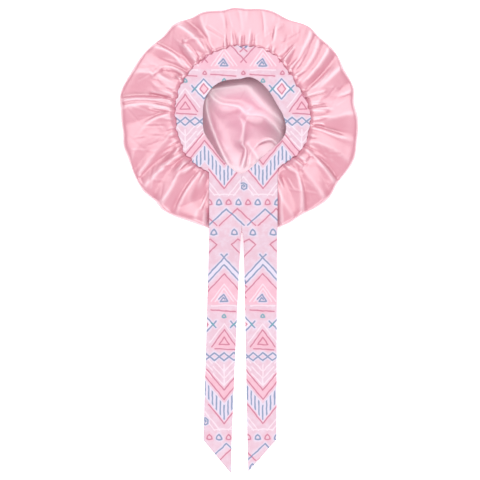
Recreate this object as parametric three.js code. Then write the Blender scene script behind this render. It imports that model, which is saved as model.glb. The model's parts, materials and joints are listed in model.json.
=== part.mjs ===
// A satin sleep bonnet lying on a table with its head opening up.
// The crown is one big round of satin, gathered along its edge under a printed band, so that it lies as a
// puffed ring around the opening, and its middle is the rumpled floor seen through the opening. The band
// is a flat double strip that runs once round the opening. Its two ends turn into two long tie strips,
// which lie over the front of the ring and then straight out along the table, cut to a point.
// Millimetres, +Z up. The origin is on the table, in the middle of the crown. +Y points away from the ties.

import * as THREE from "three";
import { LoftGeometry } from "three/addons/geometries/LoftGeometry.js";

// Cloth thicknesses.
const CROWN_CLOTH = 1.4;
const STRIP_CLOTH = 2.0;
const EDGE_ROUNDING = 0.9;

// The crown's cloth reaches this far in under the band.
const SEAM_ALLOWANCE = 9;

// Sampling of the crown round the opening, and of the band along its length.
const CROWN_STEPS = 96;
const BAND_STEPS = 56;

// Height of the band's underside at its sewn outer edge and at its free inner edge.
const BAND_SEAM_HEIGHT = 44.4;
const BAND_FREE_HEIGHT = 40.4;

// Angles where the band's two edges begin beside the left tie and end beside the right tie.
const SEWN_EDGE_FROM = 239.9;
const SEWN_EDGE_TO = -52.5;
const FREE_EDGE_FROM = 270;
const FREE_EDGE_TO = -90;

// Outline of the crown seen from above: one row for each swell and dip of its rim.
const RIM = [
  { angle: 0, radius: 172.0 },
  { angle: 8, radius: 167.6 },
  { angle: 15, radius: 171.4 },
  { angle: 25, radius: 167.8 },
  { angle: 36, radius: 169.1 },
  { angle: 46, radius: 165.7 },
  { angle: 53, radius: 167.6 },
  { angle: 64, radius: 161.0 },
  { angle: 75, radius: 163.9 },
  { angle: 86, radius: 160.7 },
  { angle: 93, radius: 162.1 },
  { angle: 99, radius: 160.2 },
  { angle: 109, radius: 164.6 },
  { angle: 116, radius: 163.1 },
  { angle: 125, radius: 168.1 },
  { angle: 133, radius: 163.9 },
  { angle: 143, radius: 168.2 },
  { angle: 157, radius: 172.6 },
  { angle: 168, radius: 177.9 },
  { angle: 176, radius: 174.4 },
  { angle: 187, radius: 171.7 },
  { angle: 193, radius: 174.1 },
  { angle: 200, radius: 172.4 },
  { angle: 216, radius: 175.7 },
  { angle: 224, radius: 172.0 },
  { angle: 230, radius: 173.9 },
  { angle: 246, radius: 165.7 },
  { angle: 270, radius: 166.0 },
  { angle: 295, radius: 167.6 },
  { angle: 303, radius: 166.2 },
  { angle: 318, radius: 173.3 },
  { angle: 327, radius: 169.9 },
  { angle: 340, radius: 176.2 },
  { angle: 349, radius: 173.6 },
];

// The band's sewn outer edge seen from above.
const SEAM = [
  { angle: -60, radius: 92.0 },
  { angle: -50, radius: 91.0 },
  { angle: -38, radius: 94.0 },
  { angle: -27, radius: 100.0 },
  { angle: -14, radius: 101.0 },
  { angle: 0, radius: 101.5 },
  { angle: 11, radius: 101.0 },
  { angle: 23, radius: 96.5 },
  { angle: 37, radius: 95.5 },
  { angle: 51, radius: 100.0 },
  { angle: 68, radius: 105.5 },
  { angle: 88, radius: 105.0 },
  { angle: 101, radius: 104.0 },
  { angle: 122, radius: 101.0 },
  { angle: 140, radius: 99.0 },
  { angle: 163, radius: 96.5 },
  { angle: 178, radius: 93.5 },
  { angle: 201, radius: 92.5 },
  { angle: 213, radius: 94.0 },
  { angle: 226, radius: 92.0 },
  { angle: 240, radius: 90.0 },
  { angle: 270, radius: 94.0 },
];

// The band's free inner edge seen from above, from one side of the front point round to the other.
const FREE_EDGE = [
  { angle: -90, radius: 80.5 },
  { angle: -81, radius: 74.0 },
  { angle: -65, radius: 65.0 },
  { angle: -48, radius: 63.0 },
  { angle: -24, radius: 68.3 },
  { angle: -13, radius: 68.3 },
  { angle: 5, radius: 62.0 },
  { angle: 24, radius: 56.7 },
  { angle: 46, radius: 57.9 },
  { angle: 75, radius: 61.5 },
  { angle: 90, radius: 57.3 },
  { angle: 100, radius: 57.4 },
  { angle: 125, radius: 60.2 },
  { angle: 148, radius: 58.3 },
  { angle: 176, radius: 53.8 },
  { angle: 202, radius: 55.4 },
  { angle: 225, radius: 56.1 },
  { angle: 250, radius: 67.7 },
  { angle: 270, radius: 80.5 },
];

// Half the crown's section. On the ring's top, reach is 0 at the gathered edge and 1 at the rim.
// Folds is how much of each fold's height shows there.
const RING_TOP = [
  { reach: 0.0, height: 39.8, folds: 0.12 },
  { reach: 0.13, height: 42.2, folds: 0.2 },
  { reach: 0.3, height: 45.3, folds: 0.65 },
  { reach: 0.5, height: 46.25, folds: 0.69 },
  { reach: 0.7, height: 44.2, folds: 0.9 },
  { reach: 0.88, height: 35.5, folds: 0.7 },
  { reach: 1.0, height: 17.5, folds: 0.0 },
];

// Below the rim, share is the distance from the middle as a share of the rim's radius.
const RING_UNDER = [
  { share: 0.97, height: 6.4 },
  { share: 0.89, height: 1.0 },
  { share: 0.8, height: 0.0 },
];

// The floor is flat on the table apart from its rumples. Its rings are this far apart, up to this radius.
const FLOOR_STEP = 9;
const FLOOR_RADIUS = 108;

// The ring's main folds: the angle at the band, the angle at the rim, half the width and the height.
const FOLDS = [
  { band: 2, rim: 5, spread: 6.0, height: 5.1 },
  { band: 18, rim: 16, spread: 3.8, height: 3.2 },
  { band: 25, rim: 27, spread: 4.0, height: 4.0 },
  { band: 33, rim: 38, spread: 4.0, height: 4.0 },
  { band: 41, rim: 45, spread: 3.5, height: 3.6 },
  { band: 47, rim: 53, spread: 4.0, height: 4.4 },
  { band: 57, rim: 64, spread: 5.0, height: 4.0 },
  { band: 67, rim: 75, spread: 5.0, height: 4.8 },
  { band: 78, rim: 84, spread: 4.5, height: 4.0 },
  { band: 88, rim: 93, spread: 5.0, height: 4.4 },
  { band: 100, rim: 104, spread: 5.5, height: 4.4 },
  { band: 112, rim: 114, spread: 4.5, height: 3.6 },
  { band: 122, rim: 125, spread: 5.0, height: 4.8 },
  { band: 133, rim: 138, spread: 4.5, height: 4.0 },
  { band: 143, rim: 148, spread: 5.5, height: 5.1 },
  { band: 154, rim: 159, spread: 4.5, height: 4.0 },
  { band: 164, rim: 169, spread: 4.5, height: 4.8 },
  { band: 173, rim: 178, spread: 4.0, height: 4.0 },
  { band: 185, rim: 192, spread: 6.0, height: 5.1 },
  { band: 197, rim: 204, spread: 5.0, height: 4.4 },
  { band: 210, rim: 215, spread: 5.0, height: 4.8 },
  { band: 222, rim: 226, spread: 4.5, height: 4.4 },
  { band: 233, rim: 236, spread: 4.5, height: 4.8 },
  { band: 244, rim: 246, spread: 4.5, height: 4.0 },
  { band: 257, rim: 258, spread: 5.5, height: 3.6 },
  { band: 270, rim: 270, spread: 5.5, height: 3.6 },
  { band: 284, rim: 283, spread: 5.5, height: 3.6 },
  { band: 298, rim: 299, spread: 5.5, height: 4.4 },
  { band: 309, rim: 309, spread: 4.5, height: 4.4 },
  { band: 320, rim: 319, spread: 5.0, height: 4.8 },
  { band: 332, rim: 329, spread: 4.5, height: 4.0 },
  { band: 344, rim: 341, spread: 5.5, height: 5.1 },
  { band: 354, rim: 353, spread: 4.0, height: 3.6 },
];

// Soft ridges of the crown's middle, each from one point to another: what shows through the opening.
const RUMPLES = [
  { fromX: -47, fromY: 30, toX: -6, toY: 27, width: 17, height: 13 },
  { fromX: -6, fromY: 27, toX: 34, toY: 9, width: 17, height: 14 },
  { fromX: 34, fromY: 9, toX: 64, toY: -22, width: 17, height: 13 },
  { fromX: -51, fromY: 22, toX: -38, toY: -14, width: 16, height: 13 },
  { fromX: -38, fromY: -14, toX: -6, toY: -70, width: 18, height: 14 },
  { fromX: 24, fromY: 8, toX: 18, toY: -26, width: 15, height: 9 },
  { fromX: 47, fromY: -33, toX: 22, toY: -34, width: 15, height: 10 },
  { fromX: 22, fromY: -34, toX: 15, toY: -62, width: 15, height: 10 },
  { fromX: -22, fromY: 58, toX: 30, toY: 48, width: 18, height: 12 },
  { fromX: 30, fromY: 48, toX: 66, toY: 14, width: 18, height: 12 },
];

// The rumples fade out between these distances from the middle, where the crown rests on the table.
const RUMPLES_START = 11;
const RUMPLES_FULL = 24;
const RUMPLES_FADE = 100;
const RUMPLES_END = 128;

// The ties press the ring down between these sides, and soften its folds.
const PRESSED_MIDDLE_X = 4.5;
const PRESSED_HALF_WIDTH = 54;
const PRESSED_EASE = 12;
const PRESSED_DEPTH = 0.2;
const PRESSED_FOLDS = 0.12;

// Height of the ties' underside along their way out, over the ring and down to the table.
const TIE_WAY = [
  { y: -80, height: 44.7 },
  { y: -96, height: 47.1 },
  { y: -112, height: 47.8 },
  { y: -127, height: 47.3 },
  { y: -142, height: 45.3 },
  { y: -156, height: 39.6 },
  { y: -170, height: 30.0 },
  { y: -184, height: 19.4 },
  { y: -198, height: 10.4 },
  { y: -212, height: 4.0 },
  { y: -224, height: 1.0 },
  { y: -236, height: 0.0 },
  { y: -520, height: 0.0 },
];

// The ties' side edges seen from above. Each ends in a slanting cut, from its outer edge to its point.
const LEFT_TIE = {
  tip: 512,
  cut: 467,
  sides: [
    { y: -80, outer: -45.0, inner: 2.2 },
    { y: -156, outer: -44.6, inner: 2.0 },
    { y: -182, outer: -45.2, inner: 0.4 },
    { y: -467, outer: -53.4, inner: -12.2 },
    { y: -520, outer: -54.5, inner: -15.2 },
  ],
};
const RIGHT_TIE = {
  tip: 508,
  cut: 466,
  sides: [
    { y: -80, outer: 54.6, inner: 2.8 },
    { y: -156, outer: 54.3, inner: 3.0 },
    { y: -182, outer: 53.9, inner: 5.2 },
    { y: -466, outer: 53.2, inner: 10.8 },
    { y: -520, outer: 53.0, inner: 12.8 },
  ],
};

// Steps along a tie while it bends over the ring, and along its flat length.
const TIE_BEND_STEPS = 22;
const TIE_FLAT_STEPS = 5;
const TIE_START = -84;
const TIE_FLAT_FROM = -236;

const SATIN_PINK = new THREE.Color(0.955, 0.64, 0.72);
const PRINT_PINK = new THREE.Color(0.98, 0.79, 0.85);

const degrees = THREE.MathUtils.degToRad;
const { smoothstep, lerp } = THREE.MathUtils;
const DOWN = new THREE.Vector3(0, 0, -1);

// A smooth curve through a table's rows: the value in column `of` where column `by` is `at`.
// With a period, the rows repeat after it.
function through(rows, by, of, at, period = 0) {
  const count = rows.length;
  const place = period ? THREE.MathUtils.euclideanModulo(at - rows[0][by], period) + rows[0][by] : at;
  const rising = rows[count - 1][by] > rows[0][by];
  let i = rows.findIndex((row) => (rising ? row[by] > place : row[by] < place));
  if (i < 0) i = count;
  const row = (k) => {
    if (!period) return rows[Math.min(Math.max(k, 0), count - 1)];
    const turned = rows[(k + count) % count];
    return { [by]: turned[by] + period * Math.floor(k / count), [of]: turned[of] };
  };
  const [before, a, b, after] = [row(i - 2), row(i - 1), row(i), row(i + 1)];
  const span = b[by] - a[by];
  if (span === 0) return a[of];
  const slope = (p, q) => (q[by] === p[by] ? 0 : ((q[of] - p[of]) / (q[by] - p[by])) * span);
  const t = (place - a[by]) / span;
  const [start, end] = [slope(before, b), slope(a, after)];
  return (
    (2 * t ** 3 - 3 * t ** 2 + 1) * a[of] +
    (t ** 3 - 2 * t ** 2 + t) * start +
    (-2 * t ** 3 + 3 * t ** 2) * b[of] +
    (t ** 3 - t ** 2) * end
  );
}

const rimRadius = (angle) => through(RIM, "angle", "radius", angle, 360);
const gatheredRadius = (angle) => through(SEAM, "angle", "radius", angle, 360) - SEAM_ALLOWANCE;

// A point at an angle and a distance from the middle, at a height.
function polar(angle, radius, height) {
  return new THREE.Vector3(radius * Math.cos(degrees(angle)), radius * Math.sin(degrees(angle)), height);
}

// A rounded bump: 1 in its middle and 0 from one spread away.
function bump(distance, spread) {
  const share = Math.min(Math.abs(distance) / spread, 1);
  return (1 - share * share) ** 2;
}

// Height that the ring's folds add at an angle, where reach says how far out it is.
function foldHeight(angle, reach) {
  return FOLDS.reduce((height, fold) => {
    const turn = THREE.MathUtils.euclideanModulo(angle - lerp(fold.band, fold.rim, reach) + 180, 360);
    return height + fold.height * bump(turn - 180, fold.spread * 1.25);
  }, 0);
}

// How far a point is from a ridge of the crown's middle.
function distanceToRidge(x, y, ridge) {
  const from = new THREE.Vector3(ridge.fromX, ridge.fromY, 0);
  const to = new THREE.Vector3(ridge.toX, ridge.toY, 0);
  const point = new THREE.Vector3(x, y, 0);
  return new THREE.Line3(from, to).closestPointToPoint(point, true, new THREE.Vector3()).distanceTo(point);
}

// Height of the crown's rumpled middle above the table.
function rumpleHeight(x, y) {
  const away = Math.hypot(x, y);
  const shown =
    smoothstep(away, RUMPLES_START, RUMPLES_FULL) * (1 - smoothstep(away, RUMPLES_FADE, RUMPLES_END));
  const heights = RUMPLES.map((ridge) => ridge.height * bump(distanceToRidge(x, y, ridge), ridge.width));
  return shown * Math.max(...heights);
}

// How much the ties press on the ring: 1 under them and 0 beside them.
function pressed(x, y) {
  const past = Math.abs(x - PRESSED_MIDDLE_X) - PRESSED_HALF_WIDTH;
  return y < 0 ? 1 - smoothstep(past, 0, PRESSED_EASE) : 0;
}

// One closed ring of points, once round the middle.
function ringOf(pointAt) {
  return Array.from({ length: CROWN_STEPS }, (_, step) => pointAt((360 * step) / CROWN_STEPS));
}

// A ring of the crown's top, from a row of RING_TOP.
function topRing({ reach, height, folds }) {
  return ringOf((angle) => {
    const point = polar(angle, lerp(gatheredRadius(angle), rimRadius(angle), reach), height);
    const press = pressed(point.x, point.y) * Math.min(folds, 1);
    point.z += folds * lerp(1, PRESSED_FOLDS, press) * foldHeight(angle, reach) - PRESSED_DEPTH * press;
    return point;
  });
}

// A ring of the crown's side below the rim, from a row of RING_UNDER.
function underRing({ share, height }) {
  return ringOf((angle) => polar(angle, rimRadius(angle) * share, height));
}

// A ring of the crown's floor.
function floorRing(radius) {
  return ringOf((angle) => {
    const point = polar(angle, radius, 0);
    point.z = rumpleHeight(point.x, point.y);
    return point;
  });
}

// The wall's other face: each ring moved in along the surface's normal.
function insideOf(rings, thickness) {
  return rings.map((ring, i) =>
    ring.map((point, j) => {
      const across = rings[Math.max(i - 1, 0)][j].clone();
      across.sub(rings[Math.min(i + 1, rings.length - 1)][j]);
      const along = ring[(j + 1) % ring.length].clone().sub(ring.at(j - 1));
      const outward = along.lengthSq() > 0 ? along.cross(across).normalize() : DOWN;
      return point.clone().addScaledVector(outward, -thickness);
    }),
  );
}

// The crown: a thin wall from the middle of its floor, out over the rim and in to the gathered edge.
function crownGeometry() {
  const floor = Array.from({ length: FLOOR_RADIUS / FLOOR_STEP + 1 }, (_, step) =>
    floorRing(FLOOR_RADIUS - FLOOR_STEP * step),
  );
  const rings = [...RING_TOP.map(topRing), ...RING_UNDER.map(underRing), ...floor];
  const sections = [...[...rings].reverse(), ...insideOf(rings, CROWN_CLOTH)];
  return new LoftGeometry(sections);
}

// The strip's section: its underside from the inner to the outer edge, a rounded edge, and back on top.
function stripSection(inner, outer) {
  const edge = inner.clone().sub(outer).setLength(EDGE_ROUNDING);
  const at = (corner, sideways, up) =>
    corner.clone().addScaledVector(edge, sideways).add(new THREE.Vector3(0, 0, up * STRIP_CLOTH));
  return [
    at(inner, -1, 0),
    at(outer, 1, 0),
    at(outer, 0, 0.5),
    at(outer, 1, 1),
    at(inner, -1, 1),
    at(inner, 0, 0.5),
  ];
}

// The strip's sections round the opening, from the left tie round the back to the right tie.
function bandSections() {
  return Array.from({ length: BAND_STEPS + 1 }, (_, step) => {
    const way = step / BAND_STEPS;
    const sewn = lerp(SEWN_EDGE_FROM, SEWN_EDGE_TO, way);
    const free = lerp(FREE_EDGE_FROM, FREE_EDGE_TO, way);
    const nearEnds = smoothstep(Math.abs(2 * way - 1), 0.7, 1);
    const height = lerp(BAND_FREE_HEIGHT, BAND_SEAM_HEIGHT, nearEnds);
    const inner = polar(free, through(FREE_EDGE, "angle", "radius", free), height);
    inner.x += lerp(LEFT_TIE.sides[0].inner, RIGHT_TIE.sides[0].inner, way) * nearEnds;
    const outer = polar(sewn, through(SEAM, "angle", "radius", sewn), BAND_SEAM_HEIGHT);
    return stripSection(inner, outer);
  });
}

// One tie's sections: from the front point over the ring, down to the table and out to its slanting cut.
function tieSections({ tip, cut, sides }) {
  const bend = Array.from({ length: TIE_BEND_STEPS }, (_, step) => {
    const y = lerp(TIE_START, TIE_FLAT_FROM, step / TIE_BEND_STEPS);
    return { inner: y, outer: y };
  });
  const flat = Array.from({ length: TIE_FLAT_STEPS + 1 }, (_, step) => ({
    inner: lerp(TIE_FLAT_FROM, -tip, step / TIE_FLAT_STEPS),
    outer: lerp(TIE_FLAT_FROM, -cut, step / TIE_FLAT_STEPS),
  }));
  const corner = (side, y) =>
    new THREE.Vector3(
      through(sides, "y", side, y),
      y,
      Math.max(through(TIE_WAY, "y", "height", y), 0),
    );
  return [...bend, ...flat].map((y) =>
    stripSection(corner("inner", y.inner), corner("outer", y.outer)),
  );
}

// The tie band: one strip from the left tie's tip, round the opening and out to the right tie's tip.
function tieBandGeometry() {
  const sections = [...tieSections(LEFT_TIE).reverse(), ...bandSections(), ...tieSections(RIGHT_TIE)];
  return new LoftGeometry(sections, { capStart: true, capEnd: true });
}

const satin = new THREE.MeshStandardMaterial({ color: SATIN_PINK, roughness: 0.35, metalness: 0 });
const print = new THREE.MeshStandardMaterial({ color: PRINT_PINK, roughness: 0.6, metalness: 0 });

function piece(name, geometry, material) {
  const mesh = new THREE.Mesh(geometry, material);
  mesh.name = name;
  return mesh;
}

const bonnet = new THREE.Group();
bonnet.add(piece("crown", crownGeometry(), satin));
bonnet.add(piece("tie_band", tieBandGeometry(), print));

export default bonnet;
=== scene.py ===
"""A satin sleep bonnet with a printed tie band, lying open side up on a pale table.

The crown is one round of satin, gathered under the band, so that it lies as a puffed ring with a rumpled
middle. The tie band is one strip, sewn flat round the opening, whose ends lie out as two long ties.
Everything is in metres, +Z up, with the origin on the table in the middle of the crown.
"""

import json
import logging
import math
from collections.abc import Sequence
from dataclasses import dataclass
from enum import Enum
from typing import ClassVar

import bpy
import mathutils
import numpy as np
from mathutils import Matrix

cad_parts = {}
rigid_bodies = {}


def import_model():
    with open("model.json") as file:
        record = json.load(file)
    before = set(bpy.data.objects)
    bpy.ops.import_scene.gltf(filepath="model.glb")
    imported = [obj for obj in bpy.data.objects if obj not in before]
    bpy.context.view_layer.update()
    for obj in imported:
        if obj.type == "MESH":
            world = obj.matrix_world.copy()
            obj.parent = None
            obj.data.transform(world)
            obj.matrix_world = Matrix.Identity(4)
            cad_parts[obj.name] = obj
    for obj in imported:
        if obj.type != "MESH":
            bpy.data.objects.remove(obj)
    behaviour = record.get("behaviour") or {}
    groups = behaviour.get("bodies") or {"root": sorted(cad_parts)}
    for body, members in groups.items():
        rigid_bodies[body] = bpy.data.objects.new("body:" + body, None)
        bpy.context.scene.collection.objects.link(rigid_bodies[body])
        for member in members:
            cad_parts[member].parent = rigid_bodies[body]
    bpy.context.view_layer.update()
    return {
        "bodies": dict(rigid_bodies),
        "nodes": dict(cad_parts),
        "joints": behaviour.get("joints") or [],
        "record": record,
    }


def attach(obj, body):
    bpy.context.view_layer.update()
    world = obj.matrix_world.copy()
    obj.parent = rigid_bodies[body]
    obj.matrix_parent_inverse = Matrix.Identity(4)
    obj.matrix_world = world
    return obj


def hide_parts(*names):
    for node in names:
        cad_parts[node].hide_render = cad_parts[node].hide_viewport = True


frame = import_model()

LOG = logging.getLogger("sleep_bonnet")
MM = 0.001


# Curves and small helpers


@dataclass(frozen=True)
class Curve:
    """A smooth curve through stations, each a place and the value there."""

    stations: tuple[tuple[float, float], ...]
    period: float = 0.0

    def at(self, places: np.ndarray) -> np.ndarray:
        """The curve's values.

        Args:
            places: where to read the curve; past its ends it stays level, or repeats if it has a period.

        Returns:
            One value for each place.
        """
        x, y = np.array(self.stations, dtype=float).T
        places = np.asarray(places, dtype=float)
        if self.period:
            places = (places - x[0]) % self.period + x[0]
            x = np.concatenate([x[-2:] - self.period, x, x[:2] + self.period])
            y = np.concatenate([y[-2:], y, y[:2]])
        slope = np.gradient(y) / np.gradient(x)
        slope[1:-1] = (y[2:] - y[:-2]) / (x[2:] - x[:-2])
        if not self.period:
            slope[0], slope[-1] = (y[1] - y[0]) / (x[1] - x[0]) / 2, (y[-1] - y[-2]) / (x[-1] - x[-2]) / 2
        places = np.clip(places, x[0], x[-1])
        i = np.clip(np.searchsorted(x, places, side="right") - 1, 0, len(x) - 2)
        span = x[i + 1] - x[i]
        t = (places - x[i]) / span
        return (
            (2 * t**3 - 3 * t**2 + 1) * y[i]
            + (t**3 - 2 * t**2 + t) * span * slope[i]
            + (3 * t**2 - 2 * t**3) * y[i + 1]
            + (t**3 - t**2) * span * slope[i + 1]
        )


def ease(value: np.ndarray, start: float, end: float) -> np.ndarray:
    """A smooth step from 0 at start to 1 at end."""
    t = np.clip((value - start) / (end - start), 0, 1)
    return t * t * (3 - 2 * t)


def mesh_object(name: str, points: np.ndarray, faces: list[tuple[int, ...]]) -> bpy.types.Object:
    """A new object at the origin from points and faces.

    Args:
        name: the piece's name.
        points: one row of x, y, z for each vertex, in metres.
        faces: the vertices of each face, counter-clockwise from outside.

    Returns:
        The object, linked to the scene and smooth shaded.
    """
    mesh = bpy.data.meshes.new(name)
    mesh.from_pydata([tuple(p) for p in points.tolist()], [], faces)
    mesh.validate()
    mesh.shade_smooth()
    piece = bpy.data.objects.new(name, mesh)
    bpy.context.scene.collection.objects.link(piece)
    return piece


def select_only(piece: bpy.types.Object) -> None:
    """Makes a piece the one selected and active object.

    Args:
        piece: the object.
    """
    bpy.ops.object.select_all(action="DESELECT")
    piece.select_set(True)
    bpy.context.view_layer.objects.active = piece


def apply_modifier(piece: bpy.types.Object, kind: str, **settings: object) -> None:
    """Adds a modifier to a piece, sets it up and applies it.

    Args:
        piece: the object to change.
        kind: the modifier's type.
        settings: its properties and their values.
    """
    select_only(piece)
    modifier = piece.modifiers.new(kind.title(), kind)
    for key, value in settings.items():
        setattr(modifier, key, value)
    bpy.ops.object.modifier_apply(modifier=modifier.name)


# Shader nodes


class Value:
    """A number that varies over a surface, for use in Python expressions that add Math nodes."""

    def __init__(self, shader: "Shader", socket: bpy.types.NodeSocket) -> None:
        """Wraps an output socket of the shader's nodes."""
        self.shader = shader
        self.socket = socket

    def maths(self, operation: str, *values: "Value | float") -> "Value":
        """A Math node on values.

        Args:
            operation: the node's operation.
            values: its inputs in order.

        Returns:
            The node's output.
        """
        return self.shader.node("ShaderNodeMath", {"operation": operation}, dict(enumerate(values)))

    def __add__(self, other: "Value | float") -> "Value":
        """self + other."""
        return self.maths("ADD", self, other)

    def __radd__(self, other: float) -> "Value":
        """other + self."""
        return self.maths("ADD", other, self)

    def __sub__(self, other: "Value | float") -> "Value":
        """self - other."""
        return self.maths("SUBTRACT", self, other)

    def __rsub__(self, other: float) -> "Value":
        """other - self."""
        return self.maths("SUBTRACT", other, self)

    def __mul__(self, other: "Value | float") -> "Value":
        """self * other."""
        return self.maths("MULTIPLY", self, other)

    def __rmul__(self, other: float) -> "Value":
        """other * self."""
        return self.maths("MULTIPLY", other, self)

    def __truediv__(self, other: "Value | float") -> "Value":
        """self / other."""
        return self.maths("DIVIDE", self, other)

    def __abs__(self) -> "Value":
        """The size of self without its sign."""
        return self.maths("ABSOLUTE", self)

    def __or__(self, other: "Value | float") -> "Value":
        """The larger of the two, so that masks add up."""
        return self.maths("MAXIMUM", self, other)

    def __and__(self, other: "Value | float") -> "Value":
        """The smaller of the two, so that masks cut each other."""
        return self.maths("MINIMUM", self, other)

    def clamped(self) -> "Value":
        """self kept from 0 to 1."""
        return (self | 0.0) & 1.0

    def repeated(self, pitch: float, start: float = 0.0) -> "Value":
        """Brings self into one stretch, so that what is drawn there repeats.

        Args:
            pitch: the stretch's length.
            start: where it starts.

        Returns:
            The value within the stretch.
        """
        offset = self - start if start else self
        within = offset - self.maths("FLOOR", offset / pitch) * pitch
        return within + start if start else within


class Shader:
    """A material's node tree, built from expressions."""

    def __init__(self, name: str) -> None:
        """Makes an empty material."""
        self.material = bpy.data.materials.new(name)
        self.material.use_nodes = True
        self.tree = self.material.node_tree
        self.tree.nodes.clear()

    def node(
        self,
        kind: str,
        settings: dict[str, object] | None = None,
        inputs: "dict[str | int, Value | object] | None" = None,
        output: str | int = 0,
    ) -> Value:
        """Adds a node.

        Args:
            kind: the node's type.
            settings: its properties, set before its sockets.
            inputs: a value or a link for each input socket, by name or number.
            output: the output socket wanted.

        Returns:
            The wanted output.
        """
        made = self.tree.nodes.new(kind)
        for key, value in (settings or {}).items():
            setattr(made, key, value)
        for key, value in (inputs or {}).items():
            if isinstance(value, Value):
                self.tree.links.new(value.socket, made.inputs[key])
            elif isinstance(value, tuple) and len(value) == 3 and made.inputs[key].type == "RGBA":
                made.inputs[key].default_value = (*value, 1.0)
            else:
                made.inputs[key].default_value = value
        return Value(self, made.outputs[output])

    def place(self) -> Value:
        """The surface point in the object's own coordinates."""
        return self.node("ShaderNodeTexCoord", output="Object")

    def attribute(self, name: str) -> Value:
        """A number stored on the mesh."""
        return self.node("ShaderNodeAttribute", {"attribute_name": name}, output="Fac")

    def parts(self, vector: Value) -> tuple[Value, Value, Value]:
        """The x, y and z of a vector."""
        split = self.node("ShaderNodeSeparateXYZ", {}, {0: vector}).socket.node
        return tuple(Value(self, socket) for socket in split.outputs)

    def vector(self, x: "Value | float", y: "Value | float", z: "Value | float" = 0.0) -> Value:
        """A vector from three numbers."""
        return self.node("ShaderNodeCombineXYZ", {}, {0: x, 1: y, 2: z})

    def vector_maths(
        self, operation: str, inputs: "dict[str | int, Value | object]", output: str | int = 0
    ) -> Value:
        """The output of a Vector Math node."""
        return self.node("ShaderNodeVectorMath", {"operation": operation}, inputs, output)

    def length(self, x: Value, y: Value) -> Value:
        """The distance that two distances at right angles make."""
        return self.vector_maths("LENGTH", {0: self.vector(x, y)}, "Value")

    def mixed(self, factor: "Value | float", low: object, high: object) -> Value:
        """The colour low where factor is 0 and high where it is 1."""
        settings = {"data_type": "RGBA", "clamp_factor": True}
        return self.node("ShaderNodeMix", settings, {0: factor, 6: low, 7: high}, output=2)

    def noise(self, vector: Value, scale: float, detail: float = 2.0, roughness: float = 0.5) -> Value:
        """Soft noise from 0 to 1 at a scale in waves per unit of the vector."""
        inputs = {"Vector": vector, "Scale": scale, "Detail": detail, "Roughness": roughness}
        return self.node("ShaderNodeTexNoise", {"noise_dimensions": "3D"}, inputs, output="Fac")

    def bump(self, height: Value, strength: float, distance: float) -> Value:
        """The surface normal with small heights on it, where distance is the height of 1 in metres."""
        inputs = {"Strength": strength, "Distance": distance, "Height": height}
        return self.node("ShaderNodeBump", {}, inputs, "Normal")

    def finish(self, **sockets: object) -> bpy.types.Material:
        """Ends the material with a Principled shader.

        Args:
            sockets: its inputs, with spaces written as underscores.

        Returns:
            The material.
        """
        inputs = {key.replace("_", " "): value for key, value in sockets.items()}
        shader = self.node("ShaderNodeBsdfPrincipled", {}, inputs)
        output = self.tree.nodes.new("ShaderNodeOutputMaterial")
        self.tree.links.new(shader.socket, output.inputs["Surface"])
        return self.material


def srgb(code: str) -> tuple[float, float, float]:
    """A colour written as six hex digits, as the linear numbers that nodes take."""
    values = [int(code[i : i + 2], 16) / 255 for i in (0, 2, 4)]
    return tuple(v / 12.92 if v <= 0.04045 else ((v + 0.055) / 1.055) ** 2.4 for v in values)


# Finishes


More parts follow.
